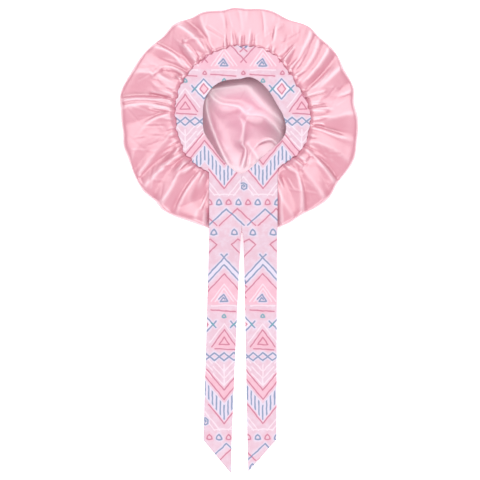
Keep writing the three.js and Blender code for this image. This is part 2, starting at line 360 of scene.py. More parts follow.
@dataclass(frozen=True)
class Satin:
    """Smooth pink satin, glossy along its folds, with a weave of long floats and a paler wrong side, with
    painted highlights on its crests, painted shade in its valleys and painted light on its wrong side.
    """

    colour: tuple[float, float, float] = srgb("E29AAD")
    deep: tuple[float, float, float] = srgb("DD8FA2")
    # The wrong side's colour is its paler tone, lifted as painted light against the shade in the opening;
    # near_band is painted light that grows towards the band, where the band shades the opening.
    wrong_side_and_painted_light: tuple[float, float, float] = srgb("F4ADC4")
    near_band: tuple[float, float, float] = srgb("FFD2E1")
    # crest is a painted highlight and valley a painted shade, and the two shares below set how strongly
    # the bend mark lays them on.
    crest: tuple[float, float, float] = srgb("FFE2EC")
    valley: tuple[float, float, float] = srgb("CF7288")
    painted_highlight_share: float = 0.42
    painted_shade_share: float = 0.4
    patches: float = 26.0
    floats_round: float = 0.13
    floats_outward: float = 0.08
    floats_upward: float = 200.0
    creases: tuple[float, float, float] = (26.0, 55.0, 30.0)
    roughness: float = 0.36
    thread: float = 0.35 * MM
    relief_strength: float = 0.35
    relief_height: float = 0.6 * MM

    def material(self) -> bpy.types.Material:
        """Makes the satin's material.

        Returns:
            The material.
        """
        shader = Shader("satin")
        place = shader.place()
        x, y, z = shader.parts(place)
        broad = shader.noise(place, self.patches)
        angle = shader.node("ShaderNodeMath", {"operation": "ARCTAN2"}, {0: y, 1: x})
        away = shader.length(x, y)
        floats_round, floats_outward = self.floats_round / self.thread, self.floats_outward / self.thread
        along = shader.vector(angle * floats_round, away * floats_outward, z * self.floats_upward)
        floats = shader.noise(along, 1.0, 1.0)
        turning, outward, upward = self.creases
        creased = shader.noise(shader.vector(angle * turning, away * outward, z * upward), 1.0, 3.0, 0.55)
        # How sharply the cloth bends, which lays painted highlights on crests and painted shade in
        # valleys.
        bend = shader.attribute("bend")
        return shader.finish(
            Base_Color=self.tinted(shader, broad, bend),
            Roughness=(floats - 0.5) * 0.1 + (broad - 0.5) * 0.08 + self.roughness,
            IOR=1.65,
            Specular_IOR_Level=1.0,
            Coat_Weight=1.0,
            Coat_Roughness=0.3,
            Sheen_Weight=0.06,
            Sheen_Roughness=0.4,
            Sheen_Tint=(1.0, 0.9, 0.95, 1.0),
            Normal=shader.bump(creased + floats * 0.12, self.relief_strength, self.relief_height),
        )

    def tinted(self, shader: Shader, broad: Value, bend: Value) -> Value:
        """The satin's colour.

        Args:
            shader: the material's nodes.
            broad: soft patches from 0 to 1.
            bend: how sharply the cloth bends, below 0 in valleys and above 0 on crests.

        Returns:
            The colour: paler inside, partly the wrong side's tone and partly painted light that grows
                towards the band, with painted highlights on crests and painted shade in valleys.
        """
        colour = shader.mixed(broad * 1.6 - 0.4, self.deep, self.colour)
        # The wrong side's paler tone, lifted as painted light against the shade in the opening.
        colour = shader.mixed(shader.attribute("wrong_side_and_painted_light"), colour, self.wrong_side_and_painted_light)
        # Painted light that grows towards the band, against the shade the band casts into the opening.
        colour = shader.mixed(shader.attribute("near_band"), colour, self.near_band)
        # Painted highlight on crests.
        colour = shader.mixed((bend * self.painted_highlight_share).clamped(), colour, self.crest)
        # Painted shade in valleys.
        return shader.mixed((bend * -self.painted_shade_share).clamped(), colour, self.valley)


class Ink(Enum):
    """The print's colours."""

    PALE = srgb("FBF1F8")
    ROSE = srgb("C36C88")
    BLUE = srgb("6D86AB")
    TEAL = srgb("5D9FAD")


@dataclass(frozen=True)
class PrintedCloth:
    """Pale pink cloth with a fine drawn print of zigzags, chevrons, triangles and diamonds.

    The print is drawn on a chart whose unit is 1.45 mm. Chart x runs to the right and chart y towards the
    ties' tips, and the motifs repeat after one pitch each way.
    """

    ground: tuple[float, float, float] = srgb("E2C2D1")
    shade: tuple[float, float, float] = srgb("E0BACA")
    mist: tuple[float, float, float] = srgb("E9D8E6")
    coral: tuple[float, float, float] = srgb("F0AEC0")
    lavender: tuple[float, float, float] = srgb("DFD9EC")
    unit: float = 1.45 * MM
    pitch_x: float = 38.8
    pitch_y: float = 235.5
    first_axis: float = 224.1
    first_row: float = 197.0
    diamond_axis: float = 242.7
    wide_line: float = 0.74
    fine_line: float = 0.62
    line_edge: float = 2.2
    ink_opacity: float = 0.85
    pale_opacity: float = 0.45
    wobble: float = 1.1
    patches: float = 30.0
    mottling: float = 110.0
    threads: float = 2600.0
    relief_strength: float = 0.3
    relief_height: float = 0.15 * MM

    def material(self) -> bpy.types.Material:
        """Makes the printed cloth's material.

        Returns:
            The material.
        """
        shader = Shader("printed_cloth")
        place = shader.place()
        broad = shader.noise(place, self.patches)
        misty = shader.noise(place, self.mottling, 3.0, 0.6)
        colour = shader.mixed(broad * 1.4 - 0.3, self.shade, self.ground)
        colour = shader.mixed((misty * 3.2 - 1.3).clamped() * 0.6, colour, self.mist)
        x, y, _ = shader.parts(place)
        weave = shader.noise(shader.vector(x * self.threads, y * self.threads), 1.0, 1.0)
        chart = Chart(shader, self)
        for mask, wash in chart.washes:
            colour = shader.mixed(mask, colour, wash)
        for ink in Ink:
            colour = shader.mixed(chart.mask(ink), colour, ink.value)
        return shader.finish(
            Base_Color=colour,
            Roughness=(weave - 0.5) * 0.12 + 0.56,
            Specular_IOR_Level=0.35,
            Sheen_Weight=0.1,
            Sheen_Roughness=0.5,
            Normal=shader.bump(weave, self.relief_strength, self.relief_height),
        )


class Chart:
    """The print's chart: for each ink, the distance to its nearest line, in chart units."""

    MIDDLE_X: float = 240.0
    TOP_Y: float = 118.5

    def __init__(self, shader: Shader, cloth: PrintedCloth) -> None:
        """Lays the chart over the cloth and draws every row.

        Args:
            shader: the cloth's nodes.
            cloth: its sizes and colours.
        """
        self.shader, self.cloth = shader, cloth
        place = shader.place()
        settings = {"noise_dimensions": "2D"}
        inputs = {"Vector": place, "Scale": cloth.mottling, "Detail": 1.0}
        right, down, _ = shader.parts(shader.node("ShaderNodeTexNoise", settings, inputs, "Color"))
        x, y, _ = shader.parts(place)
        self.x = x / cloth.unit + self.MIDDLE_X + (right - 0.5) * cloth.wobble
        self.y = self.TOP_Y - y / cloth.unit + (down - 0.5) * cloth.wobble
        self.y = self.y.repeated(cloth.pitch_y, cloth.first_row)
        self.side = self.column(cloth.first_axis)
        self.near = abs(self.side)
        self.half = cloth.pitch_x / 2 - self.near
        self.lines: dict[Ink, Value] = {}
        self.washes: list[tuple[Value, tuple[float, float, float]]] = []
        self.draw_chevrons()
        self.draw_diamonds()
        self.draw_hatching()
        self.wash()

    def add(self, ink: Ink, line: Value) -> None:
        """Adds a line to an ink by its distance, keeping only the distance to the ink's nearest line."""
        self.lines[ink] = self.lines[ink] & line if ink in self.lines else line

    def column(self, axis: float, pitch: float = 0.0) -> Value:
        """How far right of the nearest of a row of axes a point is."""
        pitch = pitch or self.cloth.pitch_x
        return (self.x - (axis - pitch / 2)).repeated(pitch) - pitch / 2

    def stroke(self, ink: Ink, across: Value, x1: float, y1: float, x2: float, y2: float) -> None:
        """Draws a straight stroke.

        Args:
            ink: its colour.
            across: the chart's x that the stroke is measured on.
            x1: its start across.
            y1: its start down.
            x2: its end across.
            y2: its end down.
        """
        long2 = (x2 - x1) ** 2 + (y2 - y1) ** 2
        maths = self.shader.vector_maths
        start = maths("SUBTRACT", {0: self.shader.vector(across, self.y), 1: (x1, y1, 0.0)})
        along = ((x2 - x1) / long2, (y2 - y1) / long2, 0.0)
        share = maths("DOT_PRODUCT", {0: start, 1: along}, "Value").clamped()
        reach = maths("SCALE", {0: (x2 - x1, y2 - y1, 0.0), "Scale": share})
        rest = maths("SUBTRACT", {0: start, 1: reach})
        self.add(ink, maths("LENGTH", {0: rest}, "Value"))

    def path(self, ink: Ink, across: Value, *points: tuple[float, float]) -> None:
        """Draws strokes from point to point."""
        for (x1, y1), (x2, y2) in zip(points, points[1:]):
            self.stroke(ink, across, x1, y1, x2, y2)

    def drop(self, ink: Ink, across: Value, y: float, size: float) -> None:
        """Draws a small triangle's outline with round corners.

        Its sides lean by 30 degrees, whose cosine is 0.866 and whose sine is 0.5.

        Args:
            ink: its colour.
            across: how far right of its middle a point is.
            y: its middle down the chart.
            size: the distance from its middle to a side.
        """
        down = self.y - y
        side = abs(across) * 0.866 - down * 0.5
        round_part = self.shader.length(across, down) * 0.48
        self.add(ink, abs((side | down) * 0.52 + round_part - size))

    def draw_chevrons(self) -> None:
        """Draws the rows of triangles, chevrons and shields, and the triangular spiral."""
        blue, rose, pale = Ink.BLUE, Ink.ROSE, Ink.PALE
        near, half = self.near, self.half
        edge = self.cloth.pitch_x / 2
        self.drop(blue, self.column(219.0, edge), 202.6, 2.15)
        self.drop(rose, self.column(228.7, edge), 202.4, 2.15)
        self.stroke(blue, abs(self.column(226.4)), 0.0, 208.8, 17.5, 225.0)
        self.stroke(rose, abs(self.column(237.5)), 0.0, 208.4, 18.2, 225.5)
        self.drop(blue, near - 10.2, 232.4, 2.3)
        self.path(rose, half, (0.0, 242.0), (5.6, 239.0), (12.1, 244.4), (0.0, 257.0))
        self.path(blue, near, (0.0, 257.5), (edge, 278.6), (17.2, 282.0))
        self.stroke(blue, near, 0.0, 257.5, 3.0, 254.2)
        self.stroke(blue, near, 0.0, 264.6, 17.4, 283.5)
        self.path(rose, half, (3.4, 281.6), (0.0, 284.4), (3.4, 287.2))
        self.path(rose, near, (0.0, 273.8), (edge, 294.8), (16.6, 298.0))
        self.path(pale, near, (0.0, 284.0), (13.0, 301.5))
        self.path(pale, near, (0.0, 288.5), (9.0, 301.5))
        self.stroke(pale, near, 0.0, 305.3, 12.5, 305.9)
        spiral = ((-5.0, 299.3), (0.0, 294.5), (4.2, 301.4), (-3.2, 301.6), (-0.4, 297.6), (1.2, 299.4))
        self.path(blue, self.column(223.5), *spiral)
        self.stroke(rose, self.side, -13.0, 310.0, 11.5, 311.7)
        self.drop(rose, half, 308.8, 1.35)
        self.drop(Ink.TEAL, near, 316.4, 1.35)

    def draw_diamonds(self) -> None:
        """Draws the diamonds with crossed corners, the nested triangles and the lattice."""
        blue, rose, pale = Ink.BLUE, Ink.ROSE, Ink.PALE
        near, edge = self.near, self.cloth.pitch_x / 2
        middle = abs(self.column(self.cloth.diamond_axis))
        self.stroke(blue, middle, 0.0, 314.7, 12.0, 327.7)
        self.stroke(blue, middle, 0.0, 334.3, 12.0, 321.3)
        self.stroke(Ink.TEAL, middle, 7.6, 323.0, 10.6, 326.2)
        self.path(rose, middle, (0.0, 319.3), (4.2, 324.5), (0.0, 329.7))
        self.path(pale, near, (0.0, 324.0), (14.5, 343.0))
        self.stroke(rose, near, 0.0, 330.0, 12.3, 347.0)
        self.path(rose, near, (0.0, 337.5), (5.0, 344.8), (0.0, 344.8))
        self.stroke(rose, self.side, -9.0, 348.8, 11.0, 350.0)
        self.path(blue, near, (0.0, 353.0), (edge / 2, 360.8), (edge, 353.0))
        self.path(blue, near, (0.0, 360.8), (edge / 2, 353.0), (edge, 360.8))

    def draw_hatching(self) -> None:
        """Draws the leaves, the deep chevrons, the hatching between them and the round spiral."""
        rose, pale = Ink.ROSE, Ink.PALE
        near, edge = self.near, self.cloth.pitch_x / 2
        for top in (364.0, 371.0, 378.0):
            self.stroke(pale, near, 0.8, top + 7.0, 11.0, top - 4.0)
            self.stroke(pale, near, 12.0, top - 0.5, edge, top - 8.5)
        self.stroke(pale, near, 0.0, 365.0, 0.0, 386.0)
        self.path(rose, near, (17.5, 369.4), (0.0, 390.5))
        self.path(rose, near, (edge, 376.0), (0.0, 399.8))
        self.path(rose, near, (15.4, 404.8), (0.0, 424.0))
        hatch = abs(self.column(self.cloth.first_axis, self.cloth.pitch_x / 10))
        low = 420.0 - near * 1.31
        high = 406.5 - near * 1.263
        self.add(Ink.BLUE, hatch | (self.y - low) | (high - self.y))
        under = (self.y - high + 3.0) & (low + 3.0 - self.y)
        self.washes.append((under.clamped() * 0.6, self.cloth.lavender))
        for wide, top in ((15.0, 412.0), (10.0, 418.5)):
            self.stroke(pale, self.half, 0.0, top, wide, top + wide * 1.25)
        self.stroke(pale, near, 0.0, 429.6, 11.0, 430.2)
        spiral = (
            (0.2, 422.4), (1.4, 421.4), (0.2, 420.2), (-1.8, 421.2), (-1.8, 423.6),
            (0.4, 425.2), (3.0, 423.8), (3.2, 420.4), (0.8, 418.4), (-2.2, 418.9),
        )
        self.path(Ink.BLUE, self.column(243.5), *spiral)

    def wash(self) -> None:
        """Lays the soft washes of colour under and around the lines."""
        near, y, cloth = self.near, self.y, self.cloth
        chevron = near * 1.09
        between = (y - 257.9 - chevron) & (chevron + 265.0 - y)
        below = (y - 275.0 - chevron) & (306.0 - y)
        inside = (y - 331.0 - near * 1.38) & (349.0 - y)
        middle = abs(self.column(self.cloth.diamond_axis))
        rise = abs(y - 324.5)
        frame = (1.0 - middle / 9.2 - rise / 9.9) * 8.0
        core = (1.0 - middle / 4.2 - rise / 5.2) * 5.0
        deep = (y - 371.0 + near * 0.1) & (400.0 - near * 1.22 - y)
        self.washes += [
            (between.clamped() * 0.8, cloth.lavender),
            ((below * 0.5).clamped() * 0.5, cloth.coral),
            ((inside * 0.5).clamped() * 0.45, cloth.coral),
            (((deep & (y - 391.0 + near * 1.22)) * 0.5).clamped() * 0.5, cloth.coral),
            (frame.clamped() * 0.85, Ink.PALE.value),
            (core.clamped() * 0.7, cloth.coral),
            (((2.9 - self.lines[Ink.BLUE]) * 0.6).clamped() * 0.6, cloth.lavender),
            (((2.4 - self.lines[Ink.ROSE]) * 0.6).clamped() * 0.35, cloth.coral),
        ]

    def mask(self, ink: Ink) -> Value:
        """Where an ink is.

        Args:
            ink: the ink.

        Returns:
            Its opacity on its lines and 0 off them.
        """
        cloth = self.cloth
        line = cloth.wide_line if ink in (Ink.BLUE, Ink.TEAL) else cloth.fine_line
        opacity = cloth.pale_opacity if ink is Ink.PALE else cloth.ink_opacity
        return ((line - self.lines[ink]) * cloth.line_edge + 0.5).clamped() * opacity


# The crown


@dataclass(frozen=True)
class Fold:
    """A crest or a valley that runs outward over the ring.

    Its first three numbers are its angles near the band, half way and at the rim, in degrees. The last
    three are its heights at the same places, in millimetres: a crest's are above its neighbours' and a
    valley's below.
    """

    band: float
    middle: float
    rim: float
    band_height: float
    middle_height: float
    rim_height: float


@dataclass(frozen=True)
class Wrinkle:
    """A small ridge along a path, or a dent where its height is below 0.

    The path is points of an angle in degrees and a distance from the middle in millimetres. Width is half
    the ridge's width.
    """

    path: tuple[tuple[float, float], ...]
    width: float
    height: float

    def over(self, x: np.ndarray, y: np.ndarray) -> np.ndarray:
        """The ridge's height at points, all in millimetres."""
        corners = [(r * math.cos(math.radians(a)), r * math.sin(math.radians(a))) for a, r in self.path]
        return self.height * (1 - ease(away_from(x, y, corners), 0.0, self.width))


@dataclass(frozen=True)
class Rumple:
    """A soft ridge of the crown's middle, along a path of x and y in millimetres."""

    path: tuple[tuple[float, float], ...]
    width: float
    height: float
    ROUNDS: ClassVar[int] = 2
    STEEPNESS: ClassVar[float] = 1.4
    ROUNDNESS: ClassVar[float] = 1.35

    def over(self, x: np.ndarray, y: np.ndarray) -> np.ndarray:
        """The ridge's height, with its path's corners cut off in rounds.

        Args:
            x: the points' x in millimetres.
            y: their y in millimetres.

        Returns:
            The heights in millimetres.
        """
        path = np.array(self.path, dtype=float)
        for _ in range(self.ROUNDS):
            early, late = path[:-1] * 0.75 + path[1:] * 0.25, path[:-1] * 0.25 + path[1:] * 0.75
            path = np.concatenate([path[:1], np.stack([early, late], axis=1).reshape(-1, 2), path[-1:]])
        share = away_from(x, y, path) / self.width
        return self.height * np.exp(-self.STEEPNESS * share**self.ROUNDNESS)


def away_from(x: np.ndarray, y: np.ndarray, path: Sequence[Sequence[float]]) -> np.ndarray:
    """How far points are from a path of straight stretches.

    Args:
        x: the points' x.
        y: their y.
        path: the x and y of each corner.

    Returns:
        The distance to the nearest stretch.
    """
    away = np.full(x.shape, np.inf)
    for (x1, y1), (x2, y2) in zip(path, path[1:]):
        dx, dy = x2 - x1, y2 - y1
        share = np.clip(((x - x1) * dx + (y - y1) * dy) / (dx * dx + dy * dy), 0, 1)
        away = np.minimum(away, np.hypot(x - x1 - share * dx, y - y1 - share * dy))
    return away


# The ring's crests and valleys in order, once round from the right-hand side. The columns are
# band, middle, rim, band_height, middle_height and rim_height.
MAIN_FOLDS: tuple[Fold, ...] = tuple(
    Fold(*row)
    for row in (
        (-3.8, 1.2, 2.8, -1.4, 2.1, 5.2), (15.0, 11.2, 12.9, 0.0, -1.0, -0.6),
        (15.3, 13.0, 13.7, -0.4, -0.7, 0.9), (15.7, 14.8, 18.9, 0.1, -0.1, -2.2),
        (17.8, 23.6, 27.3, -0.3, 3.5, 3.3), (21.8, 26.5, 30.5, 0.7, 1.0, -0.4),
        (23.6, 28.5, 33.7, -2.2, -5.3, -4.3), (30.0, 34.2, 38.9, 0.7, 1.2, 1.5),
        (32.3, 36.6, 42.5, -1.0, -1.7, -1.8), (36.9, 40.4, 46.1, -0.7, 0.4, 0.5),
        (40.0, 43.6, 47.0, -1.5, -2.8, -1.0), (41.5, 44.3, 48.3, 1.3, -1.2, -2.6),
        (42.5, 45.7, 49.4, -1.9, -1.0, -0.9), (44.0, 47.8, 51.4, -0.6, 0.3, -0.2),
        (48.3, 52.0, 54.8, -2.6, -3.6, -5.1), (53.5, 57.8, 56.6, 0.2, -1.3, -3.6),
        (57.5, 63.5, 64.3, -0.9, 0.7, -1.9), (59.6, 65.8, 69.2, -1.1, 1.1, -0.6),
        (65.7, 68.4, 71.2, -0.4, 1.9, -0.7), (68.1, 69.4, 72.3, -0.7, -1.4, -0.4),
        (72.0, 75.4, 79.3, -2.3, -0.1, -0.6), (73.9, 76.6, 80.5, -1.2, -2.0, -2.4),
        (84.5, 84.8, 84.9, -1.9, -1.5, -0.8), (86.3, 86.1, 86.2, -1.1, -1.5, 0.2),
        (87.7, 89.0, 90.8, -3.0, -1.3, 0.2), (90.1, 90.7, 92.9, -2.0, -2.2, -1.4),
        (96.6, 97.5, 98.5, -2.8, -3.3, -0.7), (98.2, 98.5, 99.9, -1.7, -2.0, 0.8),
        (109.3, 111.8, 110.8, -0.7, 2.4, 0.7), (113.2, 114.3, 120.1, 0.0, -1.0, -4.1),
        (117.5, 119.6, 124.4, 4.0, 4.5, 4.7), (127.3, 127.6, 131.0, -1.7, -0.1, 0.7),
        (129.2, 134.9, 138.0, -3.5, -5.3, -4.4), (139.0, 135.8, 140.2, -1.8, -1.4, 1.9),
        (139.0, 143.0, 144.8, -4.1, -5.0, -1.6), (156.6, 153.2, 157.4, 0.8, -0.8, 3.9),
        (163.8, 166.9, 170.6, -0.9, -4.8, -3.1), (168.1, 168.1, 171.8, 0.6, 3.5, 3.4),
        (168.9, 170.3, 173.5, -1.7, 0.5, 0.3), (170.3, 171.0, 174.6, 3.7, 3.1, 4.2),
        (174.6, 180.8, 183.2, -2.0, -2.4, -0.4), (175.8, 184.3, 200.8, 2.7, 1.2, 0.0),
        (179.8, 188.9, 203.0, 1.8, 0.3, 0.1), (187.7, 193.1, 204.2, 0.1, 0.1, -1.1),
        (190.8, 199.8, 206.9, -0.4, -1.3, -3.7), (193.5, 204.0, 211.0, 1.6, -1.1, -1.4),
        (205.1, 207.9, 210.6, -3.5, -5.3, -5.5), (207.7, 213.2, 215.6, 2.7, 1.3, 0.1),
        (214.3, 218.0, 222.8, -0.2, -1.2, -2.0), (218.0, 225.0, 226.8, 5.5, 3.6, 3.6),
        (231.1, 232.5, 233.7, -3.0, -1.0, -2.4), (232.8, 233.2, 237.7, 1.7, 3.0, 0.4),
        (235.5, 237.2, 237.5, 2.9, 1.7, 0.2), (244.8, 245.1, 246.2, -0.5, -4.3, 3.6),
        (249.5, 249.9, 252.8, -0.1, -3.4, -1.0), (262.0, 262.0, 262.0, 0.0, 0.0, 0.0),
        (276.0, 276.0, 276.0, 0.0, 0.0, 0.0), (288.6, 288.8, 289.7, 0.0, -0.1, -2.8),
        (297.7, 297.7, 298.8, 1.6, 1.5, -0.2), (306.4, 303.3, 300.3, -5.5, -2.6, -1.6),
        (319.1, 311.0, 302.6, 2.3, 3.0, 1.4), (320.9, 312.9, 305.1, 1.6, 0.0, -3.4),
        (322.5, 318.9, 316.4, 2.6, 2.9, 1.7), (331.2, 326.5, 318.2, 3.1, 1.1, -1.1),
        (334.3, 330.6, 325.7, 1.5, 3.0, 0.1), (335.6, 331.6, 327.3, -2.1, -3.3, -5.0),
        (342.3, 341.3, 337.6, 2.6, 2.8, 0.3), (351.3, 347.4, 344.1, -1.0, 1.5, -0.4),
        (352.6, 350.7, 348.5, 0.0, 3.0, 0.8), (354.9, 351.6, 351.5, -3.1, -3.8, 0.4),
    )
)

# The ring's looped folds, its dents and the creases that cross its main folds.
LOOPS_AND_DENTS: tuple[Wrinkle, ...] = (
    Wrinkle(((13.5, 119.0), (11.0, 113.5), (5.0, 111.5), (358.5, 115.0)), 4.5, 0.5),
    Wrinkle(((50.0, 141.0), (56.0, 131.0), (62.0, 124.0)), 4.5, -0.2),
    Wrinkle(((110.0, 141.0), (101.5, 120.0)), 3.5, -0.9),
    Wrinkle(((111.5, 109.0), (112.0, 122.0), (117.0, 130.5), (121.5, 135.0), (125.5, 137.0)), 5.0, 0.9),
    Wrinkle(((125.5, 137.0), (127.0, 132.0), (126.0, 120.0), (125.0, 109.0)), 5.0, 1.2),
    Wrinkle(((133.5, 104.0), (133.2, 122.0)), 9.5, -0.8),
    Wrinkle(((141.5, 109.0), (143.0, 123.0), (147.0, 135.0), (153.0, 142.0)), 5.0, 1.6),
    Wrinkle(((153.0, 142.0), (157.0, 139.0), (159.0, 130.0), (158.5, 113.0)), 5.0, 0.5),
    Wrinkle(((147.0, 115.0), (147.8, 128.0)), 10.0, -3.2),
    Wrinkle(((154.5, 112.0), (155.2, 133.0)), 8.0, -0.2),
    Wrinkle(((152.5, 164.0), (149.0, 145.0)), 3.0, -0.5),
    Wrinkle(((164.3, 114.0), (164.9, 132.0)), 4.5, -2.6),
    Wrinkle(((187.5, 119.0), (187.0, 128.0)), 6.0, -0.2),
    Wrinkle(((203.0, 108.0), (207.0, 122.0)), 13.0, -0.8),
    Wrinkle(((237.8, 112.0), (242.0, 132.0)), 13.0, -1.0),
    Wrinkle(((246.4, 117.0), (246.4, 141.0)), 3.6, 1.3),
    Wrinkle(((311.0, 154.0), (313.0, 144.0)), 3.6, 0.2),
    Wrinkle(((319.5, 116.5), (331.5, 117.5)), 4.5, -1.8),
    Wrinkle(((335.0, 146.0), (340.0, 139.0)), 3.6, 0.2),
    Wrinkle(((354.7, 103.0), (354.3, 119.0)), 5.0, -2.6),
)


@dataclass
class Crown:
    """The round of satin: a puffed ring with its rumpled middle, gathered under the band."""

    rim: Curve
    seam: Curve
    allowance: float = 9.0
    cloth: float = 0.6
    around: int = 660
    around_middle: int = 220
    top_rings: int = 46
    under_rings: int = 6
    skirt_rings: int = 5
    floor_rings: int = 56
    outer_floor_rings: int = 5
    gathers: int = 112
    gather_size: float = 2.1
    wrinkles: int = 110
    tie_middle: float = 4.5
    tie_half: float = 47.0
    tie_clear: float = 56.0
    # The next four measure how sharply the cloth bends, for the satin's painted highlights on crests and
    # painted shade in valleys.
    bend_reach: int = 3
    full_bend: float = 0.9
    floor_probe: float = 2.6
    full_floor_bend: float = 0.3
    lowest_floor: float = 0.3
    # The next three place the painted light on the wrong side, which grows towards the band against the
    # shade the band casts into the opening.
    painted_light_middle: float = 8.0 * MM
    painted_light_from: float = 34.0
    painted_light_to: float = 62.0
    near_band: float = 0.22
    half_way: float = 0.55
    near_rim: float = 0.88
    table_gap: float = 0.8
    floor_rise: float = 3.8
    floor_limit: float = 15.2
    floor_knee: float = 12.0
    lean: float = 4.0
    seed: int = 7
    section: Curve = Curve(
        (
            (0.0, 41.4), (0.09, 42.6), (0.135, 44.4), (0.175, 46.6), (0.25, 46.7), (0.42, 46.3),
            (0.6, 45.7), (0.8, 44.6), (0.93, 43.0), (0.975, 39.8), (0.992, 33.0), (1.0, 19.0),
        )
    )
    under_ties: Curve = Curve(
        (
            (0.0, 41.4), (0.09, 42.4), (0.15, 44.0), (0.25, 45.6), (0.42, 46.2), (0.6, 45.2),
            (0.75, 42.0), (0.87, 35.4), (0.95, 27.0), (1.0, 17.5),
        )
    )
    under: Curve = Curve(((0.8, 0.6), (0.86, 1.0), (0.92, 3.6), (0.965, 8.6), (0.99, 13.4), (1.0, 18.0)))
    rumples: tuple[Rumple, ...] = (
        Rumple(
            ((-46, 38), (-32, 22), (-10, 19), (1, 16), (8, 5), (33, 5), (43, -3), (52, -12), (66, -30)),
            14.6,
            8.3,
        ),
        Rumple(((14, 13), (-3, 8), (6, -11), (1, -31)), 19.2, 6.0),
        Rumple(((-56, 33), (-49, 3), (-41, -21), (-32, -39), (-17, -71), (-3, -81)), 17.1, 4.2),
        Rumple(((14, -66), (14, -51), (24, -38), (32, -32), (47, -29), (54, -38)), 3.1, 2.8),
        Rumple(((-46, 44), (-16, 46), (11, 50), (18, 36), (31, 21), (46, 8), (69, -9)), 26.0, 9.0),
        Rumple(((3, -37), (10, -45), (3, -70)), 5.2, 4.4),
        Rumple(((18, 28), (30, 17)), 3.2, 5.3),
        Rumple(((-35, -21), (-19, -43)), 16.3, 3.4),
        Rumple(((26, -56), (12, -37)), 12.3, 4.3),
        Rumple(((-21, 36), (9, 42)), 26.0, 6.7),
    )
    creases: tuple[Rumple, ...] = (
        Rumple(((-50, 28), (-46, 5), (-39, -17), (-29, -42), (-16, -68)), 5.0, 2.2),
        Rumple(((12, 8), (5, -14), (4, -46)), 4.5, 0.9),
    )

    def fold_heights(self, angle: np.ndarray, reach: float) -> np.ndarray:
        """The main folds' height once round at one reach.

        Args:
            angle: where, in degrees.
            reach: how far out, from 0 at the gathered edge to 1 at the rim.

        Returns:
            The heights in millimetres.
        """
        at = np.array([self.fold_place(f, reach) for f in MAIN_FOLDS])
        inner = float(ease(np.array(reach), self.near_band, self.half_way))
        outer = float(ease(np.array(reach), self.half_way, self.near_rim))
        height = np.array(
            [
                f.band_height * (1 - inner) + f.middle_height * (inner - outer) + f.rim_height * outer
                for f in MAIN_FOLDS
            ]
        )
        order = np.argsort(at)
        at, height = at[order], height[order]
        at = np.concatenate([at[-1:] - 360, at, at[:1] + 360])
        height = np.concatenate([height[-1:], height, height[:1]])
        turned = (angle - at[0]) % 360 + at[0]
        return np.interp(turned, at, height)

    @staticmethod
    def fold_place(fold: Fold, reach: float) -> float:
        """A fold's angle at a reach, on the curve through its three angles.

        Args:
            fold: the crest or valley.
            reach: how far out, from 0 at the gathered edge to 1 at the rim.

        Returns:
            The angle in degrees.
        """
        low, middle, high = 0.22, 0.62, 1.0
        t = max(reach, 0.1)
        return (
            fold.band * (t - middle) * (t - high) / ((low - middle) * (low - high))
            + fold.middle * (t - low) * (t - high) / ((middle - low) * (middle - high))
            + fold.rim * (t - low) * (t - middle) / ((high - low) * (high - middle))
        )

    def gather_heights(self, angle: np.ndarray, reach: np.ndarray) -> np.ndarray:
        """The fine gathers along the band, from a fixed seed.

        Args:
            angle: where, in degrees.
            reach: how far out each ring is, from 0 to 1.

        Returns:
            A row of heights in millimetres for each ring.
        """
        pick = np.random.default_rng(self.seed)
        place = np.arange(self.gathers) * 360 / self.gathers + pick.uniform(-1.1, 1.1, self.gathers)
        drift = pick.normal(0, 3.0, self.gathers)
        side = np.where(np.arange(self.gathers) % 2 == 0, 1.0, -0.6)
        crest = side * pick.uniform(0.4, 1.5, self.gathers)
        rows = []
        for t in reach:
            at = np.sort(place + drift * (t - 0.12))
            rows.append(np.interp(angle, at, crest, period=360.0))
        shown = 0.22 + 0.16 * np.sin(np.radians(angle) * 9.0) + 0.1 * np.sin(np.radians(angle) * 23.0)
        fade = 1 - ease(reach[:, None] - shown[None, :], -0.02, 0.2)
        return np.array(rows) * fade * ease(reach, 0.06, 0.14)[:, None] * self.gather_size

    def slight_wrinkles(self, x: np.ndarray, y: np.ndarray) -> np.ndarray:
        """Slight wrinkles between the main folds, from a fixed seed.

        Args:
            x: the points' x in millimetres.
            y: their y in millimetres.

        Returns:
            The heights in millimetres.
        """
        pick = np.random.default_rng(self.seed + 1)
        height = np.zeros_like(x)
        for _ in range(self.wrinkles):
            angle, start, long = pick.uniform(0, 360), pick.uniform(104, 150), pick.uniform(10, 34)
            turn_by, width = pick.normal(0, 6.0), pick.uniform(1.6, 3.4)
            tall = pick.choice([-1.0, 1.0]) * pick.uniform(0.1, 0.35)
            path = ((angle, start), (angle + turn_by, min(start + long, 164)))
            height += Wrinkle(path, width, tall).over(x, y)
        return height

    def pressed(self, x: np.ndarray, y: np.ndarray) -> np.ndarray:
        """How much the ties press on the ring: 1 under them and 0 beside them."""
        beside = ease(np.abs(x - self.tie_middle), self.tie_half, self.tie_clear)
        return np.where(y < 0, 1 - beside, 0.0)

    def points(self) -> tuple[list[np.ndarray], int, list[np.ndarray]]:
        """The rings of points, from the gathered edge over the rim to the middle of the floor.

        Returns:
            The rings in millimetres, the number of rings that have the full count of points, and for each
            ring how sharply the cloth bends there.
        """
        top, bend = self.top()
        under, skirt = self.underside()
        floor, floor_bend = self.floor()
        bend += [np.zeros(len(r)) for r in under + skirt] + floor_bend
        return top + under + skirt + floor, len(top) + len(under), bend

